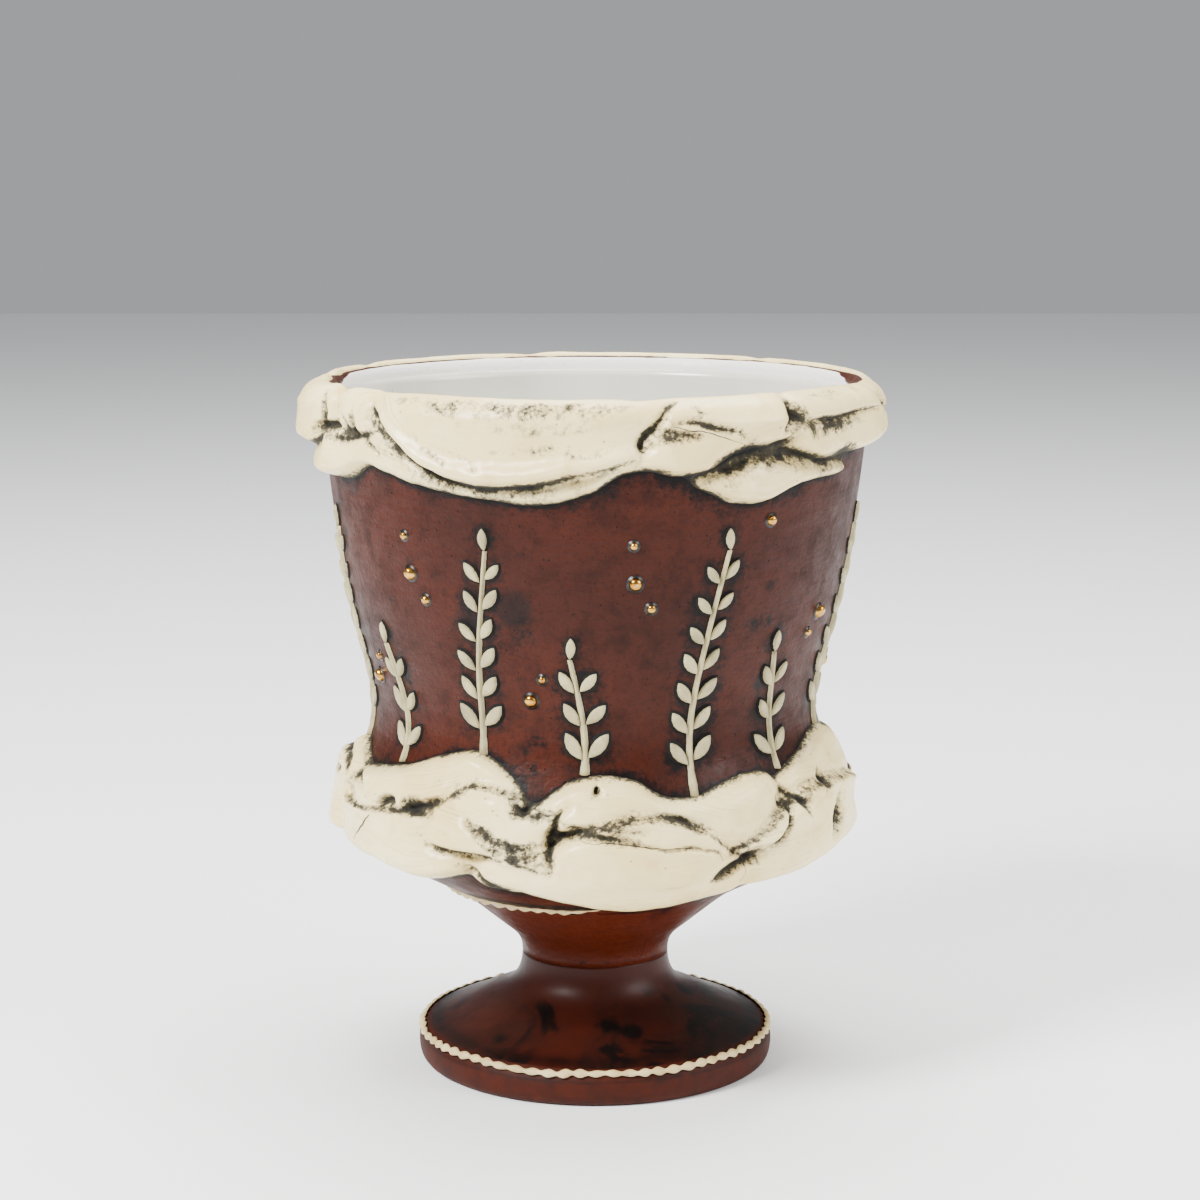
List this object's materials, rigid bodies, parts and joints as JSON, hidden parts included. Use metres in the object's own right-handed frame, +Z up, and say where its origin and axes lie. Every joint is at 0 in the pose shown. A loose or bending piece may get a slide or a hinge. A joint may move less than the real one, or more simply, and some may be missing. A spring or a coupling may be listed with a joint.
{
  "type": "footed drinking cup",
  "caption": "Footed ceramic cup with a waisted bowl, folded clay strips round its rim and shoulder, dotted trims, leafy relief sprigs and gilded beads.",
  "frame": {"origin": "middle of the ring that the foot stands on, at the ground, in the middle of the cup's outline", "axes": "+Z up the cup's axis, -Y towards the side in the picture, +X to that side's right"},
  "size_m": [0.1074, 0.1064, 0.1281],
  "materials": {
    "bowl_clay": "red-brown clay with a soft satin sheen, stained and speckled dark",
    "foot_clay": "red-brown clay, glossy and mottled near-black on its top",
    "liner_glaze": "glossy white glaze",
    "white_clay": "smooth cream clay, eggshell, black in its creases",
    "white_slip": "cream slip, eggshell, dark at its edges",
    "gold_lustre": "bright gold lustre over glaze"
  },
  "bodies": {
    "root": {"bowl": "bowl_clay", "liner_glaze": "liner_glaze", "foot": "foot_clay", "rim_strip_front": "white_clay", "rim_lobe_right": "white_clay", "rim_lobe_back_right": "white_clay", "rim_lobe_back_left": "white_clay", "rim_tab_left": "white_clay", "rim_fold_left": "white_clay", "rim_swag_back_left": "white_clay", "rim_swag_back": "white_clay", "rim_swag_back_right": "white_clay", "rim_fold_right": "white_clay", "rim_fold_mid": "white_clay", "rim_swag_front": "white_clay", "rim_knob_left": "white_clay", "shoulder_slab_left": "white_clay", "shoulder_peak_left": "white_clay", "shoulder_strip_front": "white_clay", "shoulder_slab_right": "white_clay", "shoulder_peak_right": "white_clay", "shoulder_slab_back_right": "white_clay", "shoulder_slab_back": "white_clay", "shoulder_slab_back_left": "white_clay", "shoulder_lump_left": "white_clay", "shoulder_belly_left": "white_clay", "shoulder_belly_back_right": "white_clay", "shoulder_belly_back": "white_clay", "shoulder_belly_back_left": "white_clay", "shoulder_twist_front": "white_clay", "shoulder_belly_right": "white_clay", "shoulder_slab_front": "white_clay", "foot_bead_trim": "white_slip", "belly_bead_trim": "white_slip", "tall_sprigs": "white_slip", "short_sprigs": "white_slip", "gold_beads": "gold_lustre"}
  },
  "joints": []
}
